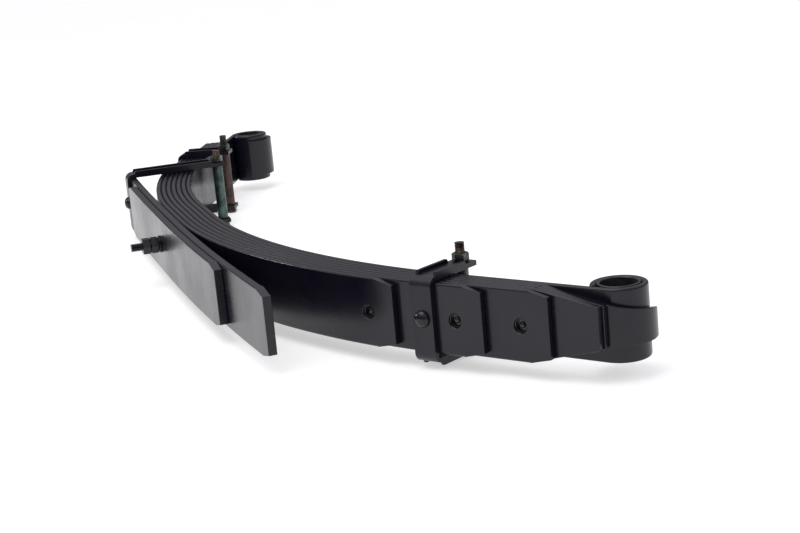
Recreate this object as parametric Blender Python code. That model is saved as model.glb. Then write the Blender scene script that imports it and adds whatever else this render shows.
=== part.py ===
"""Pick-up leaf spring: seven graduated leaves, two flat overload leaves, three bolted clamps.

The spring lies on its side. X runs along the leaves (near eye at +X), Z is the leaf width, and
both ends bend towards +Y. Each leaf is a plate swept along a path: s is the distance from the
centre bolt along the hollow face of the main leaf, and depth is measured from that face towards
the convex side (-Y at the bolt). Lengths are in metres.
"""
import math

import bmesh
import bpy
from mathutils import Matrix, Vector

# Driving dimensions -----------------------------------------------------------------------------
LEAF_WIDTH = 0.070
LEAF_T = 0.00625
OVERLOAD_T = 0.009
LEAF_COUNT = 7
CONTACT_GAP = 0.0003

SEAT_HALF = 0.045
CAMBER_RADIUS = 0.810
OVERLOAD_NEAR_RADIUS = 5.160
OVERLOAD_FAR_RADIUS = 9.000
NEAR_ARC = 0.492
NEAR_STRAIGHT = 0.163
FAR_ARC = 0.345
FAR_STRAIGHT = 0.196

BUSH_BORE_R = 0.0175
BUSH_WALL = 0.00295
BUSH_FIT = 0.0003
BUSH_PROUD = 0.0003
EYE_END_GAP = 0.0005

# Plan shapes of the leaf ends
TIP_STEP_5 = 0.044
TIP_STEP_6 = 0.1135
TIP_STEP_7 = 0.2115
TIP_CUT = 0.024
TIP_DROP = 0.0054
TAPER_LENGTH = 0.066
TAPER_TOP = 0.023
TAPER_BOTTOM = 0.0175
PAST_EYE_4 = 0.0045
PAST_EYE_3 = 0.0065
NEAR_WRAP_ANGLE = math.radians(118)
NEAR_WRAP_TOP = 0.0105
NEAR_WRAP_BOTTOM = 0.0165
FAR_WRAP_ANGLE = math.radians(262)
FAR_WRAP_HALF = 0.027
FAR_WRAP_TAPER = 0.060
LONG_NEAR = 0.450
LONG_FAR = 0.345
SHORT_NEAR = 0.307
SHORT_FAR = 0.245

# Centre bolt
BOLT_R = 0.005
BOLT_FIT = 0.0005
DOWEL_R = 0.0085
DOWEL_H = 0.008
WASHER_R = 0.0105
WASHER_T = 0.002
CENTRE_NUT_ACROSS = 0.018
CENTRE_NUT_H = 0.0097
CENTRE_STUB = 0.0135

# Clamps
STRAP_W = 0.025
STRAP_T = 0.005
STRAP_SIDE_FIT = 0.0006
STRAP_SLACK = 0.0038
STRAP_INNER_BEND = 0.001
STRAP_OUTER_BEND = 0.0095
LIP_RISE = 0.0036
LIP_T = 0.0035
LIP_START = 0.006
LIP_SLOPE = 0.001
TAB_LENGTH = 0.017
TAB_PAST_BOLT = 0.0087
SMALL_REACH = 0.062
LARGE_REACH = 0.1225
NEAR_CLAMP_FROM_TIP = 0.065
LARGE_CLAMP_S = -0.298
RIVET_R = 0.004
RIVET_FIT = 0.0003
RIVET_HEAD_R = 0.0085
RIVET_HEAD_H = 0.006
CLAMP_BOLT_R = 0.005
CLAMP_BOLT_FIT = 0.0005
CLAMP_HEAD_H = 0.0064
CLAMP_NUT_ACROSS = 0.015
CLAMP_NUT_H = 0.0085
STUB_NEAR = 0.0103
STUB_FAR = 0.0128
STUB_LARGE = 0.0075
TUBE_R = 0.007
TUBE_WALL = 0.0014

# Tip pads
PAD_FROM_TIP = 0.0315
PAD_STEM_R = 0.0068
PAD_HEAD_R = 0.0105
PAD_HEAD_T = 0.0022
PAD_FIT = 0.0003

# Mesh fineness
ARC_STEP = 0.024
ROLL_STEP = math.radians(11.25)
ROUND_SIDES = 24
BEND_STEPS = 4
DOME_STEPS = 5
MERGE = 0.000001
SHARP_ANGLE = math.radians(25)

# Values that follow ----------------------------------------------------------------------------
HALF_WIDTH = LEAF_WIDTH / 2
PITCH = LEAF_T + CONTACT_GAP
OVERLOAD_PITCH = OVERLOAD_T + CONTACT_GAP
OVERLOAD_DEPTH = LEAF_COUNT * PITCH
BUSH_R = BUSH_BORE_R + BUSH_WALL
EYE_R = BUSH_R + BUSH_FIT
EYE_ROLL = math.tau - math.acos((EYE_R - EYE_END_GAP) / (EYE_R + LEAF_T))
NEAR_EYE = SEAT_HALF + NEAR_ARC + NEAR_STRAIGHT
FAR_EYE = SEAT_HALF + FAR_ARC + FAR_STRAIGHT
ENDLESS = 2.0

for stale in list(bpy.data.objects):
    bpy.data.objects.remove(stale, do_unlink=True)

spring = bpy.data.objects.new("spring", None)
bpy.context.scene.collection.objects.link(spring)


def paint(name, colour, roughness, metallic):
    material = bpy.data.materials.new(name)
    material.use_nodes = True
    shader = material.node_tree.nodes["Principled BSDF"]
    shader.inputs["Base Color"].default_value = (*colour, 1.0)
    shader.inputs["Roughness"].default_value = roughness
    shader.inputs["Metallic"].default_value = metallic
    return material


BLACK_PAINT = paint("black_paint", (0.012, 0.012, 0.014), 0.3, 0.0)
CLAMP_PAINT = paint("clamp_paint", (0.014, 0.014, 0.015), 0.38, 0.0)
BUSH_STEEL = paint("bush_steel", (0.05, 0.05, 0.055), 0.35, 1.0)
BOLT_ZINC = paint("bolt_zinc", (0.30, 0.25, 0.17), 0.4, 1.0)
TUBE_ZINC = paint("tube_zinc", (0.33, 0.38, 0.34), 0.35, 1.0)
PAD_NYLON = paint("pad_nylon", (0.02, 0.02, 0.02), 0.5, 0.0)
BLACK_STEEL = paint("black_steel", (0.02, 0.02, 0.02), 0.45, 1.0)


# Leaf paths ------------------------------------------------------------------------------------
class Path:
    """Two runs of straight and round stretches that leave the centre bolt along +X and -X."""

    def __init__(self, near, far, depth=0.0):
        self.runs = {1: near, -1: far}
        self.depth = depth

    def frame(self, s):
        """The point at s on the path, and the angle that the path has turned there."""
        side = 1 if s >= 0 else -1
        left = abs(s)
        x = 0.0
        y = 0.0
        angle = 0.0
        for length, radius in self.runs[side]:
            step = min(left, length)
            if radius is None:
                x += step * math.cos(angle)
                y += step * math.sin(angle)
            else:
                turned = angle + step / radius
                x += radius * (math.sin(turned) - math.sin(angle))
                y += radius * (math.cos(angle) - math.cos(turned))
                angle = turned
            left -= step
        return side * x, y, side * angle

    def point(self, s, depth, z):
        x, y, angle = self.frame(s)
        d = depth + self.depth
        return Vector((x + d * math.sin(angle), y - d * math.cos(angle), z))

    def matrix(self, s, depth):
        """A frame on the path: local X along the leaf, local Y towards the hollow side."""
        angle = self.frame(s)[2]
        return Matrix.Translation(self.point(s, depth, 0.0)) @ Matrix.Rotation(angle, 4, "Z")

    def stations(self, start, end):
        """Distances from start to end that follow the round stretches closely."""
        marks = {start, end, 0.0}
        for side, run in self.runs.items():
            at = 0.0
            for length, radius in run:
                fine = 1
                if radius is not None:
                    fine = math.ceil(length / min(ARC_STEP, radius * ROLL_STEP))
                marks.update(side * (at + length * n / fine) for n in range(fine + 1))
                at += length
        return sorted(m for m in marks if start <= m <= end)


FLAT_SEAT = [(SEAT_HALF, None)]


def camber(arc, straight):
    return FLAT_SEAT + [(arc, CAMBER_RADIUS), (straight, None)]


EYE_PATH = Path(camber(NEAR_ARC, NEAR_STRAIGHT) + [(ENDLESS, EYE_R)],
                camber(FAR_ARC, FAR_STRAIGHT) + [(ENDLESS, EYE_R)])
PACK_PATH = Path(camber(NEAR_ARC, NEAR_STRAIGHT + ENDLESS), camber(FAR_ARC, FAR_STRAIGHT + ENDLESS))
OVERLOAD_PATH = Path(FLAT_SEAT + [(ENDLESS, OVERLOAD_NEAR_RADIUS)],
                     FLAT_SEAT + [(ENDLESS, OVERLOAD_FAR_RADIUS)], OVERLOAD_DEPTH)


# Shapes ----------------------------------------------------------------------------------------
def add_object(name, bm, material, place=Matrix.Identity(4)):
    bmesh.ops.remove_doubles(bm, verts=bm.verts, dist=MERGE)
    bmesh.ops.recalc_face_normals(bm, faces=bm.faces)
    mesh = bpy.data.meshes.new(name)
    bm.to_mesh(mesh)
    bm.free()
    mesh.shade_smooth()
    mesh.set_sharp_from_angle(angle=SHARP_ANGLE)
    mesh.materials.append(material)
    piece = bpy.data.objects.new(name, mesh)
    bpy.context.scene.collection.objects.link(piece)
    piece.matrix_world = place
    piece.parent = spring
    return piece


def edges_at(s, marks):
    """The top and bottom edge heights at s, read off marks that are joined by straight edges."""
    for (s0, top0, bottom0), (s1, top1, bottom1) in zip(marks, marks[1:]):
        if s <= s1:
            part = (s - s0) / (s1 - s0)
            return top0 + (top1 - top0) * part, bottom0 + (bottom1 - bottom0) * part
    return marks[-1][1:]


def leaf(name, path, depth, thickness, marks):
    """A plate swept along its path; each mark, from far to near, is (s, top edge, bottom edge)."""
    start = marks[0][0]
    end = marks[-1][0]
    along = sorted(set(path.stations(start, end)) | {m[0] for m in marks})
    bm = bmesh.new()
    rings = []
    for s in along:
        top, bottom = edges_at(s, marks)
        corners = ((depth, top), (depth + thickness, top), (depth + thickness, bottom), (depth, bottom))
        rings.append([bm.verts.new(path.point(s, d, z)) for d, z in corners])
    for ring, after in zip(rings, rings[1:]):
        for n in range(len(ring)):
            m = (n + 1) % len(ring)
            bm.faces.new((ring[n], ring[m], after[m], after[n]))
    bm.faces.new(rings[0])
    bm.faces.new(reversed(rings[-1]))
    return add_object(name, bm, BLACK_PAINT)


def turned(profile, sides=ROUND_SIDES):
    """A closed round body about local Z from (radius, height) points that start and end on the axis."""
    bm = bmesh.new()
    verts = [bm.verts.new((radius, 0.0, height)) for radius, height in profile]
    edges = [bm.edges.new(pair) for pair in zip(verts, verts[1:])]
    bmesh.ops.spin(bm, geom=verts + edges, cent=(0, 0, 0), axis=(0, 0, 1), angle=math.tau,
                   steps=sides, use_merge=True)
    return bm


def ring_body(inner, outer, height):
    """A plain tube about local Z, centred on the origin."""
    half = height / 2
    loop = [(inner, -half), (outer, -half), (outer, half), (inner, half), (inner, -half)]
    return turned(loop)


def hexagon(across, bore, height):
    """A nut about local Z that stands on the origin, with its outer corners turned off."""
    corner = across / math.sqrt(3)
    bevel = corner - across / 2
    bm = bmesh.new()
    low = []
    high = []
    for n in range(6):
        angle = n * math.tau / 6
        low.append(bm.verts.new((corner * math.cos(angle), corner * math.sin(angle), 0.0)))
        high.append(bm.verts.new((corner * math.cos(angle), corner * math.sin(angle), height - bevel)))
    for n in range(6):
        m = (n + 1) % 6
        bm.faces.new((low[n], low[m], high[m], high[n]))
    top = bm.faces.new(high)
    bm.faces.new(reversed(low))
    bmesh.ops.inset_region(bm, faces=[top], thickness=bevel)
    bmesh.ops.translate(bm, verts=top.verts, vec=(0, 0, bevel))
    if bore:
        drill(bm, bore, -height, 2 * height)
    return bm


def drill(bm, radius, low, high):
    """Cut a round hole about local Z through a body that stands on its own."""
    work = bpy.data.meshes.new("work")
    bmesh.ops.recalc_face_normals(bm, faces=bm.faces)
    bm.to_mesh(work)
    body = bpy.data.objects.new("work", work)
    bpy.context.scene.collection.objects.link(body)
    tool = cutter(pin(radius, low, high), Matrix.Identity(4))
    cut(body, tool)
    bpy.context.view_layer.update()
    shape = body.evaluated_get(bpy.context.evaluated_depsgraph_get()).to_mesh()
    bm.clear()
    bm.from_mesh(shape)
    bpy.data.objects.remove(body, do_unlink=True)
    bpy.data.objects.remove(tool, do_unlink=True)


def cutter(profile, place):
    """A round cutter about its own Z, hidden from renders."""
    tool = add_object("cutter", turned(profile), BLACK_STEEL, place)
    tool.hide_render = True
    tool.display_type = "WIRE"
    return tool


def pin(radius, low, high):
    """The profile of a plain round pin."""
    return [(0, low), (radius, low), (radius, high), (0, high)]


def cut(body, tool, operation="DIFFERENCE"):
    modifier = body.modifiers.new(operation.lower(), "BOOLEAN")
    modifier.operation = operation
    modifier.solver = "EXACT"
    modifier.object = tool


# Local Z of a bolt, rivet or pad that crosses the leaves points out of the convex side
OUTWARD = Matrix.Rotation(math.pi / 2, 4, "X")


def across(path, s, depth):
    return path.matrix(s, depth) @ OUTWARD


def leaf_hole(body, path, s, depth, thickness, radius):
    spare = CONTACT_GAP * 2
    cut(body, cutter(pin(radius, -spare, thickness + spare), across(path, s, depth)))


# Leaves ----------------------------------------------------------------------------------------
def even(s, half):
    """A mark whose two edges lie equally far from the middle of the leaf."""
    return s, half, -half


def cut_ends(far, near):
    """Marks of a leaf whose four corners are cut off."""
    low = HALF_WIDTH - TIP_DROP
    return [even(-far, low), even(-far + TIP_CUT, HALF_WIDTH), even(near - TIP_CUT, HALF_WIDTH), even(near, low)]


def tapered_ends(past_eye):
    """Marks of a leaf that narrows towards both eyes and ends just past them."""
    return [(-FAR_EYE - past_eye, TAPER_TOP, -TAPER_BOTTOM), even(-FAR_EYE + TAPER_LENGTH, HALF_WIDTH),
            even(NEAR_EYE - TAPER_LENGTH, HALF_WIDTH), (NEAR_EYE + past_eye, TAPER_TOP, -TAPER_BOTTOM)]


near_roll = NEAR_EYE + EYE_R * EYE_ROLL
far_roll = FAR_EYE + EYE_R * EYE_ROLL
leaves = [leaf("leaf_1_main", EYE_PATH, 0.0, LEAF_T, [even(-far_roll, HALF_WIDTH), even(near_roll, HALF_WIDTH)])]

wrapper_marks = [even(-FAR_EYE - EYE_R * FAR_WRAP_ANGLE, FAR_WRAP_HALF), even(-FAR_EYE, FAR_WRAP_HALF),
                 even(-FAR_EYE + FAR_WRAP_TAPER, HALF_WIDTH), even(NEAR_EYE - TAPER_LENGTH, HALF_WIDTH),
                 (NEAR_EYE, TAPER_TOP, -TAPER_BOTTOM),
                 (NEAR_EYE + EYE_R * NEAR_WRAP_ANGLE, NEAR_WRAP_TOP, -NEAR_WRAP_BOTTOM)]
leaves.append(leaf("leaf_2_wrapper", EYE_PATH, PITCH, LEAF_T, wrapper_marks))
leaves.append(leaf("leaf_3", PACK_PATH, 2 * PITCH, LEAF_T, tapered_ends(PAST_EYE_3)))
leaves.append(leaf("leaf_4", PACK_PATH, 3 * PITCH, LEAF_T, tapered_ends(PAST_EYE_4)))

TIPS = {5: TIP_STEP_5, 6: TIP_STEP_6, 7: TIP_STEP_7}
for number, step in TIPS.items():
    leaves.append(leaf(f"leaf_{number}", PACK_PATH, (number - 1) * PITCH, LEAF_T,
                       cut_ends(FAR_EYE - step, NEAR_EYE - step)))
overload_long = leaf("overload_long", OVERLOAD_PATH, 0.0, OVERLOAD_T, cut_ends(LONG_FAR, LONG_NEAR))
overload_short = leaf("overload_short", OVERLOAD_PATH, OVERLOAD_PITCH, OVERLOAD_T,
                      cut_ends(SHORT_FAR, SHORT_NEAR))

# Centre bolt through every leaf
for order, body in enumerate(leaves):
    leaf_hole(body, PACK_PATH, 0.0, order * PITCH, LEAF_T, BOLT_R + BOLT_FIT)
for order, body in enumerate((overload_long, overload_short)):
    leaf_hole(body, OVERLOAD_PATH, 0.0, order * OVERLOAD_PITCH, OVERLOAD_T, BOLT_R + BOLT_FIT)

stack = OVERLOAD_DEPTH + 2 * OVERLOAD_PITCH
nut_depth = stack + WASHER_T + CONTACT_GAP
locknut_depth = nut_depth + CENTRE_NUT_H + CONTACT_GAP
bolt_end = locknut_depth + CENTRE_NUT_H + CENTRE_STUB
bolt = turned([(0, -CONTACT_GAP - DOWEL_H), (DOWEL_R, -CONTACT_GAP - DOWEL_H), (DOWEL_R, -CONTACT_GAP),
               (BOLT_R, -CONTACT_GAP), (BOLT_R, bolt_end), (0, bolt_end)])
add_object("centre_bolt", bolt, BLACK_STEEL, across(PACK_PATH, 0.0, 0.0))
washer_place = across(PACK_PATH, 0.0, stack + WASHER_T / 2)
add_object("centre_washer", ring_body(BOLT_R + BOLT_FIT, WASHER_R, WASHER_T), BLACK_STEEL, washer_place)
for name, depth in (("centre_nut", nut_depth), ("centre_locknut", locknut_depth)):
    nut = hexagon(CENTRE_NUT_ACROSS, BOLT_R + BOLT_FIT, CENTRE_NUT_H)
    add_object(name, nut, BLACK_STEEL, across(PACK_PATH, 0.0, depth))

# Eye bushes
for side, eye in (("near", NEAR_EYE), ("far", -FAR_EYE)):
    bush = ring_body(BUSH_BORE_R, BUSH_R, LEAF_WIDTH + 2 * BUSH_PROUD)
    add_object(f"eye_bush_{side}", bush, BUSH_STEEL, Matrix.Translation(PACK_PATH.point(eye, -EYE_R, 0.0)))


# Tip pads --------------------------------------------------------------------------------------
def tip_pad(name, body, depth, s):
    """A headed button whose stem fills the hole in the leaf tip and whose head rubs the next leaf."""
    place = across(PACK_PATH, s, depth)
    stem = PAD_STEM_R + PAD_FIT
    head = PAD_HEAD_R + PAD_FIT
    step = PAD_HEAD_T + PAD_FIT
    spare = CONTACT_GAP * 2
    hole = [(0, -spare), (head, -spare), (head, step), (stem, step), (stem, LEAF_T + spare), (0, LEAF_T + spare)]
    cut(body, cutter(hole, place))
    shape = turned([(0, 0), (PAD_HEAD_R, 0), (PAD_HEAD_R, PAD_HEAD_T), (PAD_STEM_R, PAD_HEAD_T),
                    (PAD_STEM_R, LEAF_T), (0, LEAF_T)])
    add_object(name, shape, PAD_NYLON, place)


for number, step in TIPS.items():
    for side, s in (("near", NEAR_EYE - step - PAD_FROM_TIP), ("far", -FAR_EYE + step + PAD_FROM_TIP)):
        tip_pad(f"tip_pad_{number}_{side}", leaves[number - 1], (number - 1) * PITCH, s)


# Clamps ----------------------------------------------------------------------------------------
STRAP_DROP = STRAP_SLACK / 2
LEG_IN = HALF_WIDTH + STRAP_SIDE_FIT + STRAP_DROP
LEG_OUT = LEG_IN + STRAP_T
LIP_OUT = LEG_OUT + LIP_RISE

# A nut turned by this has two of its flats square to the leaf
FLAT_ALONG_LEAF = math.tau / 12


def strap_outline(reach):
    """The folded strip seen along the leaf, as (height above the leaf, width) points."""
    inner = []
    outer = []
    for n in range(BEND_STEPS + 1):
        turn = n * math.pi / 2 / BEND_STEPS
        for points, radius, base, wall in ((inner, STRAP_INNER_BEND, 0.0, LEG_IN),
                                           (outer, STRAP_OUTER_BEND, STRAP_T, LEG_OUT)):
            height = base - radius + radius * math.cos(turn)
            width = wall - radius + radius * math.sin(turn)
            points.append((height, width))
    tip = -reach - TAB_PAST_BOLT
    half = outer + [(tip, LEG_OUT), (tip, LEG_IN)] + inner[::-1]
    return half + [(height, -width) for height, width in reversed(half)]


def box(bm, low, high):
    size = Vector(high) - Vector(low)
    middle = (Vector(high) + Vector(low)) / 2
    bmesh.ops.create_cube(bm, size=1.0, matrix=Matrix.Translation(middle) @ Matrix.Diagonal((*size, 1.0)))


def lip(place, reach, edge, side):
    """One turned-up edge of a leg, whose ends slope down to the flat strip."""
    bm = bmesh.new()
    root = LEG_OUT - STRAP_T / 2
    first = -LIP_START
    last = -(reach + TAB_PAST_BOLT - TAB_LENGTH)
    low = STRAP_W / 2 - LIP_T
    profile = [(first, root), (first - LIP_SLOPE, LIP_OUT), (last + LIP_SLOPE, LIP_OUT), (last, root)]
    verts = [bm.verts.new((edge * low, width * side, height)) for height, width in profile]
    face = bm.faces.new(verts)
    grown = bmesh.ops.extrude_face_region(bm, geom=[face])["geom"]
    moved = [v for v in grown if isinstance(v, bmesh.types.BMVert)]
    bmesh.ops.translate(bm, verts=moved, vec=(edge * LIP_T, 0, 0))
    tool = add_object("lip", bm, CLAMP_PAINT, place)
    tool.hide_render = True
    tool.display_type = "WIRE"
    return tool


def clamp(name, path, s, depth, host, host_depth, host_t, reach, stub):
    """A strap riveted to its host leaf, closed across the hollow side by a bolt in a loose tube.

    The strap is a little wider than the leaf and hangs down until its upper leg nearly touches it.
    """
    rivet_place = across(path, s, depth)
    place = rivet_place @ Matrix.Translation((0, -STRAP_DROP, 0))
    outline = strap_outline(reach)
    bm = bmesh.new()
    face = bm.faces.new([bm.verts.new((-STRAP_W / 2, width, height)) for height, width in outline])
    grown = bmesh.ops.extrude_face_region(bm, geom=[face])["geom"]
    moved = [v for v in grown if isinstance(v, bmesh.types.BMVert)]
    bmesh.ops.translate(bm, verts=moved, vec=(STRAP_W, 0, 0))
    strap = add_object(f"clamp_strap_{name}", bm, CLAMP_PAINT, place)
    for edge in (-1, 1):
        for side in (-1, 1):
            cut(strap, lip(place, reach, edge, side), "UNION")
    cut(strap, cutter(pin(RIVET_R + RIVET_FIT, -STRAP_T, 2 * STRAP_T), rivet_place))
    bolt_place = place @ Matrix.Translation((0, 0, -reach)) @ Matrix.Rotation(-math.pi / 2, 4, "X")
    cut(strap, cutter(pin(CLAMP_BOLT_R + CLAMP_BOLT_FIT, -2 * LEG_OUT, 2 * LEG_OUT), bolt_place))

    leaf_hole(host, path, s, host_depth, host_t, RIVET_R + RIVET_FIT)
    grip = depth - host_depth
    head = [(RIVET_HEAD_R * math.cos(a), STRAP_T + CONTACT_GAP + RIVET_HEAD_H * math.sin(a))
            for a in (n * math.pi / 2 / DOME_STEPS for n in range(DOME_STEPS))]
    rivet = [(0, -grip), (RIVET_R, -grip), (RIVET_R, STRAP_T + CONTACT_GAP)] + head
    rivet.append((0, STRAP_T + CONTACT_GAP + RIVET_HEAD_H))
    add_object(f"clamp_rivet_{name}", turned(rivet), CLAMP_PAINT, rivet_place)

    seat = LEG_OUT + CONTACT_GAP
    end = seat + CLAMP_NUT_H + stub
    under = bolt_place @ Matrix.Translation((0, 0, -seat)) @ Matrix.Rotation(math.pi, 4, "X")
    bolt = add_object(f"clamp_bolt_{name}", hexagon(CLAMP_NUT_ACROSS, 0, CLAMP_HEAD_H), BOLT_ZINC, under)
    cut(bolt, cutter(pin(CLAMP_BOLT_R, -end - seat, CLAMP_HEAD_H / 2), under), "UNION")
    nut_place = bolt_place @ Matrix.Translation((0, 0, seat)) @ Matrix.Rotation(FLAT_ALONG_LEAF, 4, "Z")
    nut = hexagon(CLAMP_NUT_ACROSS, CLAMP_BOLT_R + CLAMP_BOLT_FIT, CLAMP_NUT_H)
    add_object(f"clamp_nut_{name}", nut, BOLT_ZINC, nut_place)
    length = 2 * (LEG_IN - CONTACT_GAP)
    add_object(f"spacer_tube_{name}", ring_body(TUBE_R - TUBE_WALL, TUBE_R, length), TUBE_ZINC, bolt_place)


leaf_6 = leaves[5]
depth_6 = 5 * PITCH
near_s = NEAR_EYE - TIP_STEP_6 - NEAR_CLAMP_FROM_TIP
far_s = -(FAR_EYE - TIP_STEP_6 - NEAR_CLAMP_FROM_TIP)
clamp("near", PACK_PATH, near_s, 6 * PITCH, leaf_6, depth_6, LEAF_T, SMALL_REACH, STUB_NEAR)
clamp("far", PACK_PATH, far_s, 6 * PITCH, leaf_6, depth_6, LEAF_T, SMALL_REACH, STUB_FAR)
clamp("overload", OVERLOAD_PATH, LARGE_CLAMP_S, OVERLOAD_PITCH, overload_long, 0.0, OVERLOAD_T, LARGE_REACH,
      STUB_LARGE)

# Stand the spring on its lowest points, with the middle of its outline over the origin ---------
bpy.context.view_layer.update()
depsgraph = bpy.context.evaluated_depsgraph_get()
reached = []
for piece in bpy.context.scene.objects:
    if piece.type == "MESH" and not piece.hide_render:
        shape = piece.evaluated_get(depsgraph).data
        reached += [piece.matrix_world @ v.co for v in shape.vertices]
lowest = Vector([min(p[axis] for p in reached) for axis in range(3)])
highest = Vector([max(p[axis] for p in reached) for axis in range(3)])
middle = (lowest + highest) / 2
spring.location = (-middle.x, -middle.y, -lowest.z)
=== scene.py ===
"""A pick-up leaf spring lying on its side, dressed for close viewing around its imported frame."""
import math

import bmesh
import bpy
from mathutils import Matrix, Vector


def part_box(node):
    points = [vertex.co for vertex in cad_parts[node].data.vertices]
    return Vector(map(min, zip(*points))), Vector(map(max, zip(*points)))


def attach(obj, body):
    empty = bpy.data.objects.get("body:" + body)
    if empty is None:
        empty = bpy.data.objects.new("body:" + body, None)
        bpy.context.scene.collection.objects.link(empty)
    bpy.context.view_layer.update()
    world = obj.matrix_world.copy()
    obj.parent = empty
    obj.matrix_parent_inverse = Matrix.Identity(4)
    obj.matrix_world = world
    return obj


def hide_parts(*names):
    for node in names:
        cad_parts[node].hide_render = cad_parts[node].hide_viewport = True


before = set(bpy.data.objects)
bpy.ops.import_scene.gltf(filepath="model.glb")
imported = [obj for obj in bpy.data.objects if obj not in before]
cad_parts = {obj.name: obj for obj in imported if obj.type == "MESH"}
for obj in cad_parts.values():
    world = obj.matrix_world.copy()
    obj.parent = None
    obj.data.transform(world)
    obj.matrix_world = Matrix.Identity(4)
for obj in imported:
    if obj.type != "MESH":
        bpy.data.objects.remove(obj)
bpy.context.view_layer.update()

# Main leaf -------------------------------------------------------------------------------------
# A flat bar of rolled spring steel, round at its long edges and sheared at its ends, bent to the
# camber and rolled into an eye at each end. The whole pack is dipped and sprayed satin black.
LEAF_HALF = 0.035
LEAF_T = 0.00625
GAP = 0.0003
ROLLED_EDGE = 0.0023
SHEARED_EDGE = 0.28
SEAT = 0.045
CAMBER = 0.810
NEAR_ARC = 0.492
NEAR_STRAIGHT = 0.163
FAR_ARC = 0.345
FAR_STRAIGHT = 0.196
EYE_R = 0.02075
EYE_END_GAP = 0.0005
BEND_STEP = 0.010
ROLL_STEP = math.radians(6)
CREASE_WELD = 0.00002
LONG_WAY = 2.0
BOLT_HOLE = 0.0055
HOLE_SIDES = 40
TOOL_REACH = 0.02
TOOL_SPARE = 0.001
WELD = 0.000001

PAINT_DEEP = (0.0040, 0.0033, 0.0085)
PAINT_PALE = (0.0055, 0.0046, 0.0105)
WORN_EDGE = (0.045, 0.042, 0.04)
DUST = (0.06, 0.06, 0.062)

near_eye = SEAT + NEAR_ARC + NEAR_STRAIGHT
far_eye = SEAT + FAR_ARC + FAR_STRAIGHT
pitch = LEAF_T + GAP
roll = math.tau - math.acos((EYE_R - EYE_END_GAP) / (EYE_R + LEAF_T))

# The centre bolt's head stands on the hollow face of the main leaf, where both runs of a leaf start
DOWEL_H = 0.008
bolt_low, bolt_high = (Vector(corner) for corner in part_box("centre_bolt"))
main_low, main_high = (Vector(corner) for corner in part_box("leaf_1_main"))
seat = Vector(((bolt_low.x + bolt_high.x) / 2, bolt_high.y - DOWEL_H - GAP,
               (main_low.z + main_high.z) / 2))


def camber_run(arc, straight, end_radius=None):
    """One half of a leaf curve as (length, radius) stretches; a straight one has no radius."""
    return [(SEAT, None), (arc, CAMBER), (straight, None), (LONG_WAY, end_radius)]


EYE_CURVE = {1: camber_run(NEAR_ARC, NEAR_STRAIGHT, EYE_R),
             -1: camber_run(FAR_ARC, FAR_STRAIGHT, EYE_R)}
PACK_CURVE = {1: camber_run(NEAR_ARC, NEAR_STRAIGHT), -1: camber_run(FAR_ARC, FAR_STRAIGHT)}


def follow(curve, s, depth, z=0.0):
    """The place at s along a curve, at a depth below its hollow face, and the angle turned there."""
    side = 1 if s >= 0 else -1
    left = abs(s)
    x = 0.0
    y = 0.0
    angle = 0.0
    for length, radius in curve[side]:
        step = min(left, length)
        if radius is None:
            x += step * math.cos(angle)
            y += step * math.sin(angle)
        else:
            turned = angle + step / radius
            x += radius * (math.sin(turned) - math.sin(angle))
            y += radius * (math.cos(angle) - math.cos(turned))
            angle = turned
        left -= step
    angle *= side
    offset = Vector((side * x + depth * math.sin(angle), y - depth * math.cos(angle), z))
    return seat + offset, angle


def bend_lines(curve, start, end):
    """Where a flat bar has to be creased so that it can follow the round stretches of a curve."""
    lines = []
    for side, run in curve.items():
        at = 0.0
        for length, radius in run:
            if radius is not None:
                count = math.ceil(length / min(BEND_STEP, radius * ROLL_STEP))
                lines += [side * (at + length * n / count) for n in range(count + 1)]
            at += length
    return sorted(s for s in lines if start < s < end)


def settle(piece):
    """Bake a piece's modifiers into its mesh."""
    bpy.context.view_layer.update()
    shape = piece.evaluated_get(bpy.context.evaluated_depsgraph_get())
    mesh = bpy.data.meshes.new_from_object(shape)
    spare = piece.data
    piece.modifiers.clear()
    piece.data = mesh
    bpy.data.meshes.remove(spare)
    mesh.name = piece.name


def link(name, bm):
    """Turn a bmesh into an object of the scene."""
    mesh = bpy.data.meshes.new(name)
    bmesh.ops.recalc_face_normals(bm, faces=bm.faces)
    bm.to_mesh(mesh)
    bm.free()
    piece = bpy.data.objects.new(name, mesh)
    bpy.context.scene.collection.objects.link(piece)
    return piece


def cut(piece, tool, operation="DIFFERENCE"):
    """Cut a piece with a tool and throw the tool away."""
    boolean = piece.modifiers.new("cut", "BOOLEAN")
    boolean.operation = operation
    boolean.object = tool
    settle(piece)
    bpy.data.objects.remove(tool, do_unlink=True)


def turned(profile, sides=48, place=Matrix.Identity(4)):
    """A round body about local Z, spun from (radius, height) points."""
    bm = bmesh.new()
    verts = [bm.verts.new((radius, 0.0, height)) for radius, height in profile]
    edges = [bm.edges.new(pair) for pair in zip(verts, verts[1:])]
    bmesh.ops.spin(bm, geom=verts + edges, cent=(0, 0, 0), axis=(0, 0, 1), angle=math.tau,
                   steps=sides, use_merge=True)
    bmesh.ops.remove_doubles(bm, verts=bm.verts, dist=WELD)
    bmesh.ops.transform(bm, verts=bm.verts, matrix=place)
    return bm


def bevel_edges(piece, width, segments, limit="WEIGHT", angle=30):
    """Round the edges of a piece that have a weight, or that are sharper than an angle."""
    bevel = piece.modifiers.new("edges", "BEVEL")
    bevel.width = width
    bevel.segments = segments
    bevel.limit_method = limit
    bevel.angle_limit = math.radians(angle)
    settle(piece)


def smooth(piece, angle=40):
    """Shade a piece smooth and keep its broad faces true."""
    piece.data.shade_smooth()
    piece.data.set_sharp_from_angle(angle=math.radians(angle))
    weighted = piece.modifiers.new("true_faces", "WEIGHTED_NORMAL")
    weighted.keep_sharp = True


# A bolt or rivet through a flat bar has its local Z along -Y, which is the bar's outer side
ACROSS = Matrix.Rotation(math.pi / 2, 4, "X")


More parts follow.
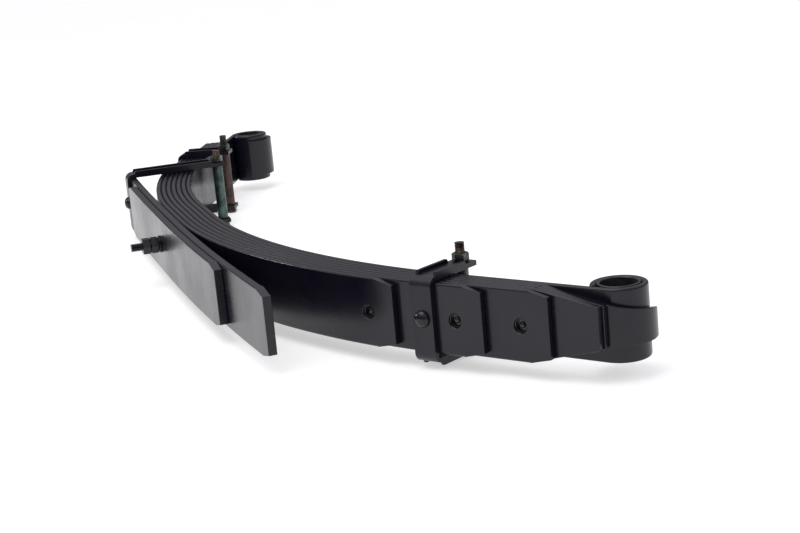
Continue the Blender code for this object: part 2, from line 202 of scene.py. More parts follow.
def even(s, half):
    """A mark whose two edges lie equally far from the middle of the leaf."""
    return s, half, -half


def bar(name, marks, thickness, curve, depth, holes=()):
    """A leaf: a flat bar cut to the plan in marks, holed, rounded at its edges and bent to a curve.

    marks are (s, top edge, bottom edge) from the far end to the near end; holes are ((s, profile), ...).
    """
    bm = bmesh.new()
    upper = [bm.verts.new((s, 0.0, top)) for s, top, bottom in marks]
    lower = [bm.verts.new((s, 0.0, bottom)) for s, top, bottom in reversed(marks)]
    face = bm.faces.new(upper + lower)
    grown = bmesh.ops.extrude_face_region(bm, geom=[face])["geom"]
    moved = [v for v in grown if isinstance(v, bmesh.types.BMVert)]
    bmesh.ops.translate(bm, verts=moved, vec=(0, -thickness, 0))
    weight = bm.edges.layers.float.new("bevel_weight_edge")
    for edge in bm.edges:
        first, second = (v.co for v in edge.verts)
        rolled = abs(abs(first.z) - LEAF_HALF) < GAP and abs(abs(second.z) - LEAF_HALF) < GAP
        along = abs(first.y - second.y) < GAP
        edge[weight] = 1.0 if rolled and along else SHEARED_EDGE
    piece = link(name, bm)
    bevel_edges(piece, ROLLED_EDGE, segments=4)
    for s, profile in holes:
        cut(piece, link("hole", turned(profile, HOLE_SIDES, Matrix.Translation((s, 0, 0)) @ ACROSS)))

    bm = bmesh.new()
    bm.from_mesh(piece.data)
    for s in bend_lines(curve, marks[0][0], marks[-1][0]):
        bmesh.ops.bisect_plane(bm, geom=bm.verts[:] + bm.edges[:] + bm.faces[:], dist=CREASE_WELD,
                               plane_co=(s, 0, 0), plane_no=(1, 0, 0))
    along = bm.loops.layers.uv.new("along")
    rim = bm.faces.layers.float.new("rim")
    for face in bm.faces:
        face[rim] = 0.0 if abs(face.normal.y) > 0.99 else 1.0
        for loop in face.loops:
            loop[along].uv = (loop.vert.co.x, loop.vert.co.z)
    for v in bm.verts:
        v.co = follow(curve, v.co.x, depth - v.co.y, v.co.z)[0]
    bmesh.ops.recalc_face_normals(bm, faces=bm.faces)
    bm.to_mesh(piece.data)
    bm.free()
    smooth(piece)
    return piece


def pin(radius, low, high):
    """The profile of a plain round pin."""
    return [(0, low), (radius, low), (radius, high), (0, high)]


def node(tree, kind, **inputs):
    """Add a shader node; words set its properties and its sockets, and links join sockets."""
    made = tree.nodes.new(kind)
    for name, value in inputs.items():
        socket = made.inputs.get(name.replace("_", " "))
        if socket is None:
            setattr(made, name, value)
        elif isinstance(value, bpy.types.NodeSocket):
            tree.links.new(value, socket)
        else:
            socket.default_value = value
    return made


def noise(tree, place, scale, detail=3.0):
    """Cloudy noise, finer at a larger scale."""
    made = node(tree, "ShaderNodeTexNoise", Vector=place, Scale=scale, Detail=detail)
    return made.outputs["Fac"]


def ramp(tree, value, low, high, start=0.0, end=1.0):
    """Map a value between low and high onto start to end."""
    made = tree.nodes.new("ShaderNodeMapRange")
    tree.links.new(value, made.inputs["Value"])
    made.inputs["From Min"].default_value = low
    made.inputs["From Max"].default_value = high
    made.inputs["To Min"].default_value = start
    made.inputs["To Max"].default_value = end
    return made.outputs["Result"]


def product(tree, first, second):
    """Multiply two values."""
    made = tree.nodes.new("ShaderNodeMath")
    made.operation = "MULTIPLY"
    tree.links.new(first, made.inputs[0])
    tree.links.new(second, made.inputs[1])
    return made.outputs["Value"]


def blend(tree, amount, first, second):
    """Mix two colours, each given as a socket or as three numbers."""
    made = tree.nodes.new("ShaderNodeMix")
    made.data_type = "RGBA"
    tree.links.new(amount, made.inputs["Factor"])
    for socket, colour in ((made.inputs[6], first), (made.inputs[7], second)):
        if isinstance(colour, bpy.types.NodeSocket):
            tree.links.new(colour, socket)
        else:
            socket.default_value = (*colour, 1.0)
    return made.outputs[2]


def bump(tree, height, distance, strength, under=None):
    """Raise a height off the surface, or off another bump under it."""
    made = tree.nodes.new("ShaderNodeBump")
    made.inputs["Distance"].default_value = distance
    made.inputs["Strength"].default_value = strength
    tree.links.new(height, made.inputs["Height"])
    if under is not None:
        tree.links.new(under, made.inputs["Normal"])
    return made.outputs["Normal"]


def new_material(name, metallic=0.0):
    """A material, its tree, its shader and the object coordinates that its patterns read."""
    material = bpy.data.materials.new(name)
    material.use_nodes = True
    tree = material.node_tree
    shader = tree.nodes["Principled BSDF"]
    shader.inputs["Metallic"].default_value = metallic
    place = tree.nodes.new("ShaderNodeTexCoord").outputs["Object"]
    return material, tree, shader, place


def sprayed_black(name, rough_low, rough_high, peel):
    """Satin black chassis paint: orange peel, thin edges with worn spots, dust and handling marks."""
    material, tree, shader, place = new_material(name)
    clouds = noise(tree, place, 9.0, 4.0)
    mottle = noise(tree, place, 70.0, 5.0)
    shader.inputs["Specular IOR Level"].default_value = 0.38
    base = blend(tree, ramp(tree, mottle, 0.35, 0.68), PAINT_DEEP, PAINT_PALE)

    rim = tree.nodes.new("ShaderNodeAttribute")
    rim.attribute_name = "rim"
    chips = ramp(tree, noise(tree, place, 330.0, 6.0), 0.60, 0.68, 0.0, 0.5)
    patches = ramp(tree, noise(tree, place, 28.0, 2.0), 0.46, 0.6)
    worn = product(tree, product(tree, rim.outputs["Fac"], chips), patches)
    base = blend(tree, worn, base, WORN_EDGE)
    dust = ramp(tree, noise(tree, place, 1500.0, 2.0), 0.70, 0.76, 0.0, 0.15)
    base = blend(tree, dust, base, DUST)
    tree.links.new(base, shader.inputs["Base Color"])

    smears = noise(tree, place, 22.0, 5.0)
    gloss = ramp(tree, product(tree, clouds, smears), 0.15, 0.36, rough_low, rough_high)
    tree.links.new(gloss, shader.inputs["Roughness"])

    skin = bump(tree, noise(tree, place, 420.0, 2.0), 0.0004, peel)
    skin = bump(tree, noise(tree, place, 60.0, 2.0), 0.0012, peel * 0.5, skin)
    tree.links.new(skin, shader.inputs["Normal"])
    return material


def dress(piece, material, body, slot, *nodes):
    """Give a piece its finish, the body that it rides on and the nodes that it stands in for."""
    piece.data.materials.clear()
    piece.data.materials.append(material)
    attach(piece, body)
    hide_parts(*nodes)


leaf_paint = sprayed_black("leaf_paint", rough_low=0.22, rough_high=0.30, peel=0.06)
bolt_hole = (0.0, pin(BOLT_HOLE, -TOOL_REACH, TOOL_REACH))
main_marks = [even(-far_eye - EYE_R * roll, LEAF_HALF), even(near_eye + EYE_R * roll, LEAF_HALF)]
main_leaf = bar("main_leaf", main_marks, LEAF_T, EYE_CURVE, 0.0, [bolt_hole])
dress(main_leaf, leaf_paint, "spring", "black_paint", "leaf_1_main")

# Wrapper leaf ----------------------------------------------------------------------------------
# The second leaf backs up the main one: its far end is wrapped most of the way round the far eye,
# and its near end is sheared to a narrow tongue that follows the near eye for a third of a turn.
TONGUE_TAPER = 0.066
TONGUE_TOP = 0.023
TONGUE_BOTTOM = -0.0175
TONGUE_TURN = math.radians(118)
TONGUE_END_TOP = 0.0105
TONGUE_END_BOTTOM = -0.0165
FAR_WRAP_TURN = math.radians(262)
FAR_WRAP_HALF = 0.027
FAR_WRAP_TAPER = 0.060

wrapper_marks = [even(-far_eye - EYE_R * FAR_WRAP_TURN, FAR_WRAP_HALF), even(-far_eye, FAR_WRAP_HALF),
                 even(-far_eye + FAR_WRAP_TAPER, LEAF_HALF), even(near_eye - TONGUE_TAPER, LEAF_HALF),
                 (near_eye, TONGUE_TOP, TONGUE_BOTTOM),
                 (near_eye + EYE_R * TONGUE_TURN, TONGUE_END_TOP, TONGUE_END_BOTTOM)]
wrapper = bar("wrapper_leaf", wrapper_marks, LEAF_T, EYE_CURVE, pitch, [bolt_hole])
dress(wrapper, leaf_paint, "spring", "black_paint", "leaf_2_wrapper")

# Third and fourth leaves -----------------------------------------------------------------------
# Full-length backing leaves of the same spring steel. Their ends are sheared narrower, like the
# wrapper's near end, and stop just past the place where the main leaf starts to roll into its eyes.
PAST_EYE = {3: 0.0065, 4: 0.0045}

for number, past in PAST_EYE.items():
    tapered = [(-far_eye - past, TONGUE_TOP, TONGUE_BOTTOM), even(-far_eye + TONGUE_TAPER, LEAF_HALF),
               even(near_eye - TONGUE_TAPER, LEAF_HALF), (near_eye + past, TONGUE_TOP, TONGUE_BOTTOM)]
    leaf = bar(f"backing_leaf_{number}", tapered, LEAF_T, PACK_CURVE, (number - 1) * pitch, [bolt_hole])
    dress(leaf, leaf_paint, "spring", "black_paint", f"leaf_{number}")

# Fifth to seventh leaves -----------------------------------------------------------------------
# Shorter leaves with their corners sheared off. A stepped hole near each tip holds a nylon pad
# that keeps the tip from grinding on the next leaf; two leaves also carry the clamp rivets.
TIP_STEP = {5: 0.044, 6: 0.1135, 7: 0.2115}
TIP_CUT = 0.024
TIP_DROP = 0.0054
PAD_FROM_TIP = 0.0315
PAD_STEM = 0.0068
PAD_HEAD = 0.0105
PAD_HEAD_T = 0.0022
PAD_FIT = 0.0003
MOUTH = 0.0005
CLAMP_FROM_TIP = 0.065
RIVET_HOLE = 0.0043


def cut_corners(far, near):
    """The marks of a leaf whose four corners are sheared off."""
    low = LEAF_HALF - TIP_DROP
    return [even(-far, low), even(-far + TIP_CUT, LEAF_HALF),
            even(near - TIP_CUT, LEAF_HALF), even(near, low)]


stem_hole = PAD_STEM + PAD_FIT
head_hole = PAD_HEAD + PAD_FIT
head_step = PAD_HEAD_T + PAD_FIT
tool_end = LEAF_T + TOOL_SPARE
pad_hole = [(0, -TOOL_SPARE), (head_hole, -TOOL_SPARE), (head_hole, head_step), (stem_hole, head_step),
            (stem_hole, LEAF_T - MOUTH), (stem_hole + MOUTH + TOOL_SPARE, tool_end), (0, tool_end)]
rivet_hole = pin(RIVET_HOLE, -TOOL_REACH, TOOL_REACH)
tip_pads = {}
for number, step in TIP_STEP.items():
    near = near_eye - step
    far = far_eye - step
    tip_pads[number] = {"near": near - PAD_FROM_TIP, "far": -far + PAD_FROM_TIP}
    holes = [bolt_hole] + [(s, pad_hole) for s in tip_pads[number].values()]
    if number == 6:
        clamp_s = {"near": near - CLAMP_FROM_TIP, "far": -far + CLAMP_FROM_TIP}
        holes += [(s, rivet_hole) for s in clamp_s.values()]
    depth = (number - 1) * pitch
    leaf = bar(f"short_leaf_{number}", cut_corners(far, near), LEAF_T, PACK_CURVE, depth, holes)
    dress(leaf, leaf_paint, "spring", "black_paint", f"leaf_{number}")

# Overload leaves -------------------------------------------------------------------------------
# Two thicker, nearly flat bars of spring steel, sheared at their corners and bolted under the
# pack. They only bear on it once a heavy load has flattened its curve.
OVERLOAD_T = 0.009
NEAR_CAMBER = 5.160
FAR_CAMBER = 9.000
LONG_ENDS = (0.345, 0.450)
SHORT_ENDS = (0.245, 0.307)
LARGE_CLAMP_S = -0.298

overload_pitch = OVERLOAD_T + GAP
overload_depth = 7 * pitch
OVERLOAD_CURVE = {1: [(SEAT, None), (LONG_WAY, NEAR_CAMBER)],
                  -1: [(SEAT, None), (LONG_WAY, FAR_CAMBER)]}


def overload(name, ends, order, holes, replaced):
    """An overload leaf, counted outwards by order from the pack's outer face."""
    depth = overload_depth + order * overload_pitch
    leaf = bar(name, cut_corners(*ends), OVERLOAD_T, OVERLOAD_CURVE, depth, holes)
    dress(leaf, leaf_paint, "spring", "black_paint", replaced)


overload("long_overload_leaf", LONG_ENDS, 0, [bolt_hole, (LARGE_CLAMP_S, rivet_hole)], "overload_long")
overload("short_overload_leaf", SHORT_ENDS, 1, [bolt_hole], "overload_short")

# Centre bolt -----------------------------------------------------------------------------------
# A forged bolt that ties all the leaves together: a round dowel head on the hollow side finds the
# hole in the axle seat, and a washer, a nut and a lock nut close the pack on the other side.
BOLT_R = 0.005
DOWEL_R = 0.0085
DOWEL_CHAMFER = 0.0012
DOWEL_SHOULDER = 0.0003
EDGE_ROUND = 0.0004
WASHER_R = 0.0105
WASHER_T = 0.002
WASHER_FIT = 0.0005
WASHER_BURR = 0.0003
NUT_ACROSS = 0.018
NUT_H = 0.0097
NUT_FIT = 0.0003
NUT_SHOULDER = 0.0004
NUT_SLOPE = math.tan(math.radians(30))
NUT_SINK = 0.0007
NUT_ROUND = 0.00025
STUB = 0.0135
THREAD_PITCH = 0.0015
THREAD_DEPTH = 0.0007
THREAD_ROWS = 6
THREAD_LEAD = 0.001
THREAD_LAP = 0.002
OFF_CORNER = 0.05


def place_across(curve, s, depth):
    """A frame at a depth below a leaf curve, its Z pointing out of the pack's outer side."""
    spot, angle = follow(curve, s, depth)
    return Matrix.Translation(spot) @ Matrix.Rotation(angle, 4, "Z") @ ACROSS


def threaded_end(radius, start, end):
    """The end of a bolt about local Z: a chamfered cylinder whose skin is raised into a helix."""
    rows = round((end - start) / THREAD_PITCH * THREAD_ROWS)
    profile = [(0, start), (radius, start)]
    profile += [(radius, start + (end - start) * n / rows) for n in range(1, rows)]
    profile += [(radius - THREAD_DEPTH, end), (0, end)]
    bm = turned(profile, HOLE_SIDES)
    for v in bm.verts:
        across = math.hypot(v.co.x, v.co.y)
        inside = start < v.co.z < end - THREAD_PITCH / THREAD_ROWS / 2
        if across < radius / 2 or not inside:
            continue
        turn = math.atan2(v.co.y, v.co.x) / math.tau
        phase = (v.co.z / THREAD_PITCH - turn) % 1.0
        fade = min(1.0, (v.co.z - start) / THREAD_PITCH, (end - v.co.z) / THREAD_PITCH)
        depth = THREAD_DEPTH * abs(2.0 * phase - 1.0) * fade
        scale = (radius - depth) / across
        v.co.x *= scale
        v.co.y *= scale
    return bm


def nut(name, across, height, bore, place, both_ends=True):
    """A hexagon bar turned off at 30 degrees at its ends, bored and countersunk; it stands on z = 0."""
    corner = across / math.sqrt(3)
    bm = bmesh.new()
    turns = [n * math.tau / 6 for n in range(6)]
    bm.faces.new([bm.verts.new((corner * math.cos(turn), corner * math.sin(turn), 0)) for turn in turns])
    grown = bmesh.ops.extrude_face_region(bm, geom=bm.faces[:])["geom"]
    moved = [v for v in grown if isinstance(v, bmesh.types.BMVert)]
    bmesh.ops.translate(bm, verts=moved, vec=(0, 0, height))
    piece = link(name, bm)

    # The crown tool is turned a little, so that none of its facets lies along a corner of the bar
    face = across / 2 - NUT_SHOULDER
    past = corner + TOOL_SPARE
    foot = (past - face) * NUT_SLOPE if both_ends else TOOL_SPARE * NUT_SLOPE
    crown = [(0, 0), (face if both_ends else past, 0), (past, foot),
             (past, height - (past - face) * NUT_SLOPE), (face, height), (0, height)]
    tool = link("crown", turned(crown, sides=60, place=Matrix.Rotation(OFF_CORNER, 4, "Z")))
    cut(piece, tool, "INTERSECT")
    if bore:
        mouth = bore + NUT_SINK + TOOL_SPARE
        hole = [(0, -TOOL_SPARE), (mouth, -TOOL_SPARE), (bore, NUT_SINK), (bore, height - NUT_SINK),
                (mouth, height + TOOL_SPARE), (0, height + TOOL_SPARE)]
        cut(piece, link("bore", turned(hole, HOLE_SIDES)))
    bevel_edges(piece, NUT_ROUND, segments=2, limit="ANGLE", angle=40)
    piece.data.transform(place)
    smooth(piece, angle=35)
    return piece


stack = overload_depth + 2 * overload_pitch
nut_base = stack + WASHER_T + GAP
locknut_base = nut_base + NUT_H + GAP
stub_end = locknut_base + NUT_H + STUB
thread_start = nut_base + THREAD_LEAD
head_end = -GAP - DOWEL_H
head_and_shank = [(0, head_end), (DOWEL_R - DOWEL_CHAMFER, head_end),
                  (DOWEL_R - DOWEL_SHOULDER, head_end + EDGE_ROUND), (DOWEL_R, head_end + DOWEL_CHAMFER),
                  (DOWEL_R, -GAP - EDGE_ROUND), (DOWEL_R - EDGE_ROUND, -GAP),
                  (BOLT_R, -GAP), (BOLT_R, thread_start), (0, thread_start)]
centre_bolt = link("centre_bolt_body", turned(head_and_shank))
thread = link("thread", threaded_end(BOLT_R, thread_start - THREAD_LAP, stub_end))
cut(centre_bolt, thread, "UNION")
centre_bolt.data.transform(place_across(PACK_CURVE, 0.0, 0.0))
smooth(centre_bolt)
fastener_paint = sprayed_black("fastener_paint", rough_low=0.16, rough_high=0.26, peel=0.15)
dress(centre_bolt, fastener_paint, "spring", "centre_steel", "centre_bolt")

washer_bore = BOLT_R + WASHER_FIT
ring = [(washer_bore, 0), (WASHER_R - EDGE_ROUND, 0), (WASHER_R, EDGE_ROUND),
        (WASHER_R, WASHER_T - EDGE_ROUND), (WASHER_R - EDGE_ROUND, WASHER_T),
        (washer_bore + WASHER_BURR, WASHER_T), (washer_bore, WASHER_T - WASHER_BURR), (washer_bore, 0)]
washer = link("centre_washer_ring", turned(ring, place=place_across(PACK_CURVE, 0.0, stack)))
smooth(washer)
dress(washer, fastener_paint, "spring", "centre_steel", "centre_washer")
for name, depth in (("centre_nut", nut_base), ("centre_locknut", locknut_base)):
    seated = place_across(PACK_CURVE, 0.0, depth)
    centre_nut = nut(f"{name}_hex", NUT_ACROSS, NUT_H, BOLT_R + NUT_FIT, seated)
    dress(centre_nut, fastener_paint, "spring", "centre_steel", name)

# Eye bushes ------------------------------------------------------------------------------------
# Thick steel tubes turned to size and pressed into the rolled eyes; their ends stand just proud
# of the leaf so that the hanger plates rub on them. They are sprayed over with the pack.
BUSH_BORE = 0.0175
BUSH_R = 0.02045
BUSH_PROUD = 0.0003
BUSH_CHAMFER = 0.0008
BUSH_GREY = (0.036, 0.036, 0.040)
BUSH_STAIN = (0.012, 0.012, 0.013)


def turned_steel(name, colour, dark, rough, metallic, grain):
    """Machined or drawn steel: a fine grain, dark stains and specks, and a soft sheen."""
    material, tree, shader, place = new_material(name, metallic)
    stains = ramp(tree, noise(tree, place, 90.0, 6.0), 0.38, 0.64)
    specks = ramp(tree, noise(tree, place, 700.0, 3.0), 0.52, 0.66, 0.0, 0.7)
    base = blend(tree, stains, colour, dark)
    base = blend(tree, specks, base, dark)
    tree.links.new(base, shader.inputs["Base Color"])
    gloss = ramp(tree, noise(tree, place, 240.0, 4.0), 0.3, 0.7, rough - 0.08, rough + 0.12)
    tree.links.new(gloss, shader.inputs["Roughness"])
    skin = bump(tree, noise(tree, place, 1200.0, 4.0), 0.0002, grain)
    tree.links.new(skin, shader.inputs["Normal"])
    return material


bush_finish = turned_steel("bush_finish", BUSH_GREY, BUSH_STAIN, rough=0.30, metallic=0.3, grain=0.25)
bush_end = LEAF_HALF + BUSH_PROUD
outer_chamfer = BUSH_CHAMFER / 2
bush_profile = [(BUSH_BORE, -bush_end + BUSH_CHAMFER), (BUSH_BORE + BUSH_CHAMFER, -bush_end),
                (BUSH_R - outer_chamfer, -bush_end), (BUSH_R, -bush_end + outer_chamfer),
                (BUSH_R, bush_end - outer_chamfer), (BUSH_R - outer_chamfer, bush_end),
                (BUSH_BORE + BUSH_CHAMFER, bush_end), (BUSH_BORE, bush_end - BUSH_CHAMFER),
                (BUSH_BORE, -bush_end + BUSH_CHAMFER)]
for side, s in (("near", near_eye), ("far", -far_eye)):
    centre = follow(PACK_CURVE, s, -EYE_R)[0]
    bush = link(f"{side}_eye_bush", turned(bush_profile, sides=96, place=Matrix.Translation(centre)))
    smooth(bush)
    dress(bush, bush_finish, "spring", "bush_steel", f"eye_bush_{side}")

# Tip pads --------------------------------------------------------------------------------------
# Moulded nylon buttons pushed into the stepped holes: the broad head rubs the next leaf, and the
# stem shows a collar round a hollow button in the outer mouth of the hole.
COLLAR_DROP = 0.0014
COLLAR_WALL = 0.0010
COLLAR_SLOPE = 0.0003
MOAT = 0.0030
BUTTON_R = 0.0034
BUTTON_H = 0.00238
BUTTON_STEPS = 8
NYLON_DEEP = (0.003, 0.003, 0.003)
NYLON_PALE = (0.006, 0.006, 0.006)

pad_nylon, tree, shader, place = new_material("pad_nylon_finish")
tone = ramp(tree, noise(tree, place, 300.0, 4.0), 0.35, 0.65)
tree.links.new(blend(tree, tone, NYLON_DEEP, NYLON_PALE), shader.inputs["Base Color"])
tree.links.new(ramp(tree, noise(tree, place, 160.0), 0.3, 0.7, 0.14, 0.26), shader.inputs["Roughness"])
tree.links.new(bump(tree, noise(tree, place, 900.0), 0.0002, 0.25), shader.inputs["Normal"])


def dome(radius, height, base, steps):
    """The profile of a dome, from its foot at base to its crown."""
    turns = [n * math.pi / 2 / steps for n in range(steps)]
    round_part = [(radius * math.cos(turn), base + height * math.sin(turn)) for turn in turns]
    return round_part + [(0, base + height)]


rim_at = LEAF_T - COLLAR_DROP
inner_wall = PAD_STEM - COLLAR_WALL
pad_profile = [(0, 0), (PAD_HEAD - EDGE_ROUND, 0), (PAD_HEAD, EDGE_ROUND), (PAD_HEAD, PAD_HEAD_T),
               (PAD_STEM, PAD_HEAD_T), (PAD_STEM, rim_at - EDGE_ROUND), (PAD_STEM - EDGE_ROUND, rim_at),
               (inner_wall, rim_at - COLLAR_SLOPE), (inner_wall, rim_at - MOAT)]
pad_profile += dome(BUTTON_R, BUTTON_H, rim_at - MOAT, BUTTON_STEPS)
for number, spots in tip_pads.items():
    for side, s in spots.items():
        shape = turned(pad_profile, HOLE_SIDES, place_across(PACK_CURVE, s, (number - 1) * pitch))
        pad = link(f"{side}_pad_{number}", shape)
        smooth(pad)
        dress(pad, pad_nylon, "spring", "pad_nylon", f"tip_pad_{number}_{side}")

# Clamp straps ----------------------------------------------------------------------------------
# Folded from flat strip and riveted across a leaf. The edges of each leg are turned out into two
# stiffening lips, which stop short of the flat tab that the clamp bolt passes through.
STRAP_W = 0.025
STRAP_T = 0.005
STRAP_FIT = 0.0006
STRAP_DROP = 0.0019
STRAP_ROUND = 0.0006
INNER_BEND = 0.001
OUTER_BEND = 0.0095
BEND_STEPS = 10
LIP_RISE = 0.0036
LIP_END_RISE = 0.000072
LIP_T = 0.0035
LIP_START = 0.006
LIP_SLOPE = 0.0014
TAB = 0.017
TAB_PAST_BOLT = 0.0087
REACH = {"near": 0.062, "far": 0.062, "overload": 0.1225}
RIVET_R = 0.004
RIVET_FIT = 0.0003
CLAMP_BOLT_HOLE = 0.0055

leg_in = LEAF_HALF + STRAP_FIT + STRAP_DROP
leg_out = leg_in + STRAP_T
rivet_place = {
    "near": place_across(PACK_CURVE, clamp_s["near"], 6 * pitch),
    "far": place_across(PACK_CURVE, clamp_s["far"], 6 * pitch),
    "overload": place_across(OVERLOAD_CURVE, LARGE_CLAMP_S, overload_depth + overload_pitch),
}
strap_place = {side: place @ Matrix.Translation((0, -STRAP_DROP, 0)) for side, place in rivet_place.items()}


def crosswise(reach):
    """The place of a strap's bolt, its Z pointing across the leaf."""
    return Matrix.Translation((0, 0, -reach)) @ Matrix.Rotation(-math.pi / 2, 4, "X")


def raise_lip(bm, faces, side, lip_end):
    """Raise the edge of a leg into a lip whose two ends slope."""
    grown = bmesh.ops.extrude_face_region(bm, geom=faces)["geom"]
    bmesh.ops.delete(bm, geom=faces, context="FACES_KEEP_BOUNDARY")
    for v in (v for v in grown if isinstance(v, bmesh.types.BMVert)):
        at_end = -LIP_START - v.co.z < GAP or v.co.z - lip_end < GAP
        v.co.y += side * (LIP_END_RISE if at_end else LIP_RISE)


def strap(name, reach):
    """A strap about the origin: X along the leaf, Y across it, Z out of the pack."""
    lip_end = -(reach + TAB_PAST_BOLT - TAB)
    tip = -reach - TAB_PAST_BOLT
    inner = []
    outer = []
    bends = ((inner, INNER_BEND, 0.0, leg_in), (outer, OUTER_BEND, STRAP_T, leg_out))
    for points, radius, base, wall in bends:
        for n in range(BEND_STEPS + 1):
            turn = n * math.pi / 2 / BEND_STEPS
            points.append((wall - radius + radius * math.sin(turn), base - radius + radius * math.cos(turn)))
    slopes = (-LIP_START, -LIP_START - LIP_SLOPE, lip_end + LIP_SLOPE, lip_end)
    down = [(leg_out, z) for z in (*slopes, tip)]
    back = [(leg_in, z) for z in (tip, *reversed(slopes))]
    half = outer + down + back + inner[::-1]
    outline = half + [(-y, z) for y, z in reversed(half)]

    # Three slices side by side, because only the outer two carry lips
    bm = bmesh.new()
    layer = bm.faces.new([bm.verts.new((-STRAP_W / 2, y, z)) for y, z in outline])
    for width in (LIP_T, STRAP_W - 2 * LIP_T, LIP_T):
        grown = bmesh.ops.extrude_face_region(bm, geom=[layer])["geom"]
        moved = [v for v in grown if isinstance(v, bmesh.types.BMVert)]
        bmesh.ops.translate(bm, verts=moved, vec=(width, 0, 0))
        layer = next(f for f in grown if isinstance(f, bmesh.types.BMFace))
        walls = [f for f in bm.faces if len(f.verts) > 4 and f != layer]
        inside = [f for f in walls if abs(f.calc_center_median().x) < STRAP_W / 2 - GAP]
        bmesh.ops.delete(bm, geom=inside, context="FACES_ONLY")
    bmesh.ops.recalc_face_normals(bm, faces=bm.faces)

    for side in (1, -1):
        for edge in (1, -1):
            raised = []
            for f in bm.faces:
                spot = f.calc_center_median()
                on_leg = f.normal.y * side > 0.99 and abs(spot.y) > leg_out - GAP
                on_edge = spot.x * edge > STRAP_W / 2 - LIP_T
                if on_leg and on_edge and lip_end < spot.z < -LIP_START:
                    raised.append(f)
            raise_lip(bm, raised, side, lip_end)
    bmesh.ops.recalc_face_normals(bm, faces=bm.faces)
    piece = link(name, bm)

    drill = pin(RIVET_R + RIVET_FIT, -STRAP_T, 2 * STRAP_T)
    drill_place = Matrix.Translation((0, STRAP_DROP, 0))
    cut(piece, link("rivet_hole", turned(drill, HOLE_SIDES, drill_place)))
    drill = pin(CLAMP_BOLT_HOLE, -2 * leg_out, 2 * leg_out)
    cut(piece, link("bolt_hole", turned(drill, HOLE_SIDES, crosswise(reach))))
    bevel_edges(piece, STRAP_ROUND, segments=3, limit="ANGLE", angle=32)
    return piece


clamp_paint = sprayed_black("clamp_paint_finish", rough_low=0.28, rough_high=0.42, peel=0.18)
for side, reach in REACH.items():
    piece = strap(f"{side}_strap", reach)
    piece.data.transform(strap_place[side])
    smooth(piece, angle=35)
    dress(piece, clamp_paint, "spring", "clamp_paint", f"clamp_strap_{side}")

# Clamp rivets ----------------------------------------------------------------------------------
# Round-headed steel rivets, closed hot through the strap and its leaf. They are sprayed over with
# the pack, and their shanks end flush with the leaf's inner side.
RIVET_HEAD_R = 0.0085
RIVET_HEAD_H = 0.006
RIVET_STEPS = 12
GRIP = {"near": pitch, "far": pitch, "overload": overload_pitch}

for side, grip in GRIP.items():
    base = STRAP_T + GAP
    shank = [(0, -grip), (RIVET_R, -grip), (RIVET_R, base)]
    profile = shank + dome(RIVET_HEAD_R, RIVET_HEAD_H, base, RIVET_STEPS)
    rivet = link(f"{side}_rivet", turned(profile, place=rivet_place[side]))
    smooth(rivet)
    dress(rivet, fastener_paint, "spring", "clamp_paint", f"clamp_rivet_{side}")

# Clamp bolts, nuts and tubes -------------------------------------------------------------------
# A bolt closes each strap on the hollow side, through a loose tube that keeps the legs apart and
# rolls on the main leaf when the pack opens. Bolts and nuts are dark olive zinc; two tubes are
# green and one is rusty.
CLAMP_BOLT_R = 0.005
CLAMP_HEAD_H = 0.0064
CLAMP_NUT_ACROSS = 0.015
CLAMP_NUT_H = 0.0085
CLAMP_STUB = {"near": 0.0103, "far": 0.0128, "overload": 0.0075}
TUBE_R = 0.007
TUBE_WALL = 0.0014
TUBE_ROUND = 0.0003
BOLT_OLIVE = (0.15, 0.105, 0.065)
BOLT_STAIN = (0.022, 0.014, 0.010)
NUT_OLIVE = (0.13, 0.145, 0.125)
NUT_STAIN = (0.024, 0.024, 0.022)
TUBE_GREEN = (0.10, 0.165, 0.145)
GREEN_STAIN = (0.045, 0.065, 0.058)
TUBE_RUST = (0.10, 0.062, 0.050)
RUST_STAIN = (0.035, 0.022, 0.020)

bolt_finish = turned_steel("bolt_zinc_finish", BOLT_OLIVE, BOLT_STAIN, rough=0.32, metallic=0.85, grain=0.5)
nut_finish = turned_steel("nut_zinc_finish", NUT_OLIVE, NUT_STAIN, rough=0.30, metallic=0.85, grain=0.4)
green_tube = turned_steel("green_tube_finish", TUBE_GREEN, GREEN_STAIN, rough=0.34, metallic=0.8, grain=0.35)
rusty_tube = turned_steel("rusty_tube_finish", TUBE_RUST, RUST_STAIN, rough=0.50, metallic=0.4, grain=0.5)
tube_finish = {"near": green_tube, "far": rusty_tube, "overload": green_tube}

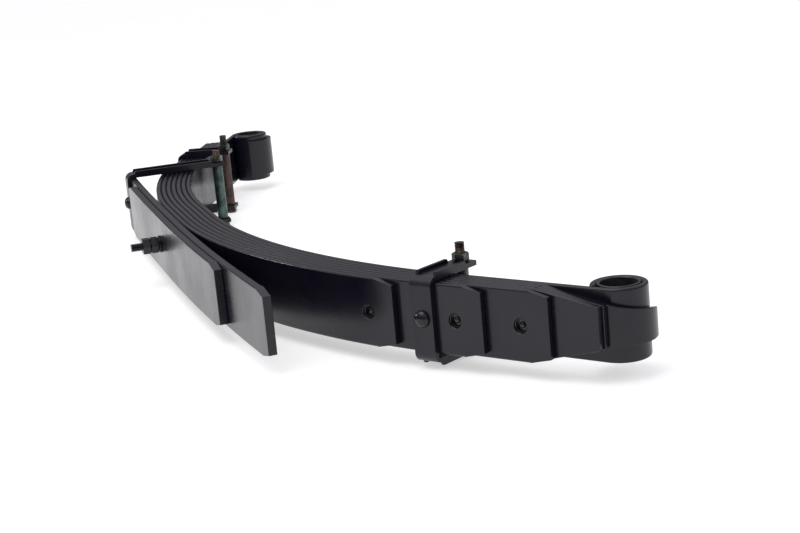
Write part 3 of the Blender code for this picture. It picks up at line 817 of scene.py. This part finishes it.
under = leg_out + GAP
flip = Matrix.Translation((0, 0, -under)) @ Matrix.Rotation(math.pi, 4, "X")
tube_end = leg_in - GAP
tube_bore = TUBE_R - TUBE_WALL
tube_profile = [(tube_bore, -tube_end), (TUBE_R - TUBE_ROUND, -tube_end), (TUBE_R, -tube_end + TUBE_ROUND),
                (TUBE_R, tube_end - TUBE_ROUND), (TUBE_R - TUBE_ROUND, tube_end), (tube_bore, tube_end),
                (tube_bore, -tube_end)]
for side, reach in REACH.items():
    bolt_place = strap_place[side] @ crosswise(reach)
    shank = link("shank", turned(pin(CLAMP_BOLT_R, -under - TOOL_SPARE, under)))
    thread_end = under + CLAMP_NUT_H + CLAMP_STUB[side]
    cut(shank, link("thread", threaded_end(CLAMP_BOLT_R, under - THREAD_LAP, thread_end)), "UNION")
    clamp_bolt = nut(f"{side}_clamp_bolt", CLAMP_NUT_ACROSS, CLAMP_HEAD_H, 0, flip, both_ends=False)
    clamp_bolt.modifiers.clear()
    cut(clamp_bolt, shank, "UNION")
    clamp_bolt.data.transform(bolt_place)
    smooth(clamp_bolt, angle=35)
    dress(clamp_bolt, bolt_finish, "spring", "bolt_zinc", f"clamp_bolt_{side}")

    seated = bolt_place @ Matrix.Translation((0, 0, under)) @ Matrix.Rotation(math.tau / 12, 4, "Z")
    clamp_nut = nut(f"{side}_clamp_nut", CLAMP_NUT_ACROSS, CLAMP_NUT_H, CLAMP_BOLT_R + NUT_FIT, seated)
    dress(clamp_nut, nut_finish, "spring", "bolt_zinc", f"clamp_nut_{side}")

    tube = link(f"{side}_tube", turned(tube_profile, sides=64, place=bolt_place))
    smooth(tube)
    dress(tube, tube_finish[side], f"tube_{side}", "tube_zinc", f"spacer_tube_{side}")

# Floor, light and camera -----------------------------------------------------------------------
# A pale seamless studio: one broad floor that glows softly, as a light table does, a room that is
# brighter overhead than at eye level, a large soft light above and a small one for the highlights.
FLOOR_REACH = 12.0
FLOOR_GLOW = 0.52
FLOOR_DEEP = (0.66, 0.66, 0.66)
FLOOR_PALE = (0.68, 0.68, 0.68)
ROOM_TINT = (0.97, 0.95, 1.0, 1.0)
HORIZON_GLOW = 0.14
ZENITH_GLOW = 0.85
LENS = 75.39
CAMERA_FROM_SEAT = Vector((1.988, -0.3496, 0.4235))
CAMERA_TURN = (76.387, 5.185, 72.365)

bm = bmesh.new()
bmesh.ops.create_grid(bm, x_segments=1, y_segments=1, size=FLOOR_REACH)
floor = link("floor", bm)
floor_paint, tree, shader, place = new_material("floor_paint")
shader.inputs["Roughness"].default_value = 0.6
floor_tone = ramp(tree, noise(tree, place, 3.0), 0.3, 0.7)
tree.links.new(blend(tree, floor_tone, FLOOR_DEEP, FLOOR_PALE), shader.inputs["Base Color"])
shader.inputs["Emission Color"].default_value = (1.0, 1.0, 1.0, 1.0)
shader.inputs["Emission Strength"].default_value = FLOOR_GLOW
floor.data.materials.append(floor_paint)

room = bpy.data.worlds.new("room")
bpy.context.scene.world = room
room.use_nodes = True
tree = room.node_tree
backdrop = tree.nodes["Background"]
backdrop.inputs["Color"].default_value = ROOM_TINT
direction = tree.nodes.new("ShaderNodeTexCoord").outputs["Generated"]
split = tree.nodes.new("ShaderNodeSeparateXYZ")
tree.links.new(direction, split.inputs["Vector"])
glow = ramp(tree, split.outputs["Z"], 0.1, 0.7, HORIZON_GLOW, ZENITH_GLOW)
tree.links.new(glow, backdrop.inputs["Strength"])
bpy.context.scene.view_settings.view_transform = "Standard"


def soft_light(name, size, spot, target, power):
    """A square area light that faces a target."""
    light = bpy.data.lights.new(name, "AREA")
    light.size = size
    light.energy = power
    lamp = bpy.data.objects.new(name, light)
    lamp.location = spot
    lamp.rotation_euler = (Vector(target) - Vector(spot)).to_track_quat("-Z", "Y").to_euler()
    bpy.context.scene.collection.objects.link(lamp)


soft_light("overhead", size=2.0, spot=(0.4, -0.8, 2.4), target=(0.1, 0.0, 0.0), power=30.0)
soft_light("sparkle", size=0.2, spot=(-0.9, -1.45, 0.62), target=(0.4, 0.0, 0.0), power=4.0)

camera_data = bpy.data.cameras.new("camera")
camera_data.lens = LENS
camera = bpy.data.objects.new("camera", camera_data)
camera.location = seat + CAMERA_FROM_SEAT
camera.rotation_euler = [math.radians(angle) for angle in CAMERA_TURN]
bpy.context.scene.collection.objects.link(camera)
bpy.context.scene.camera = camera
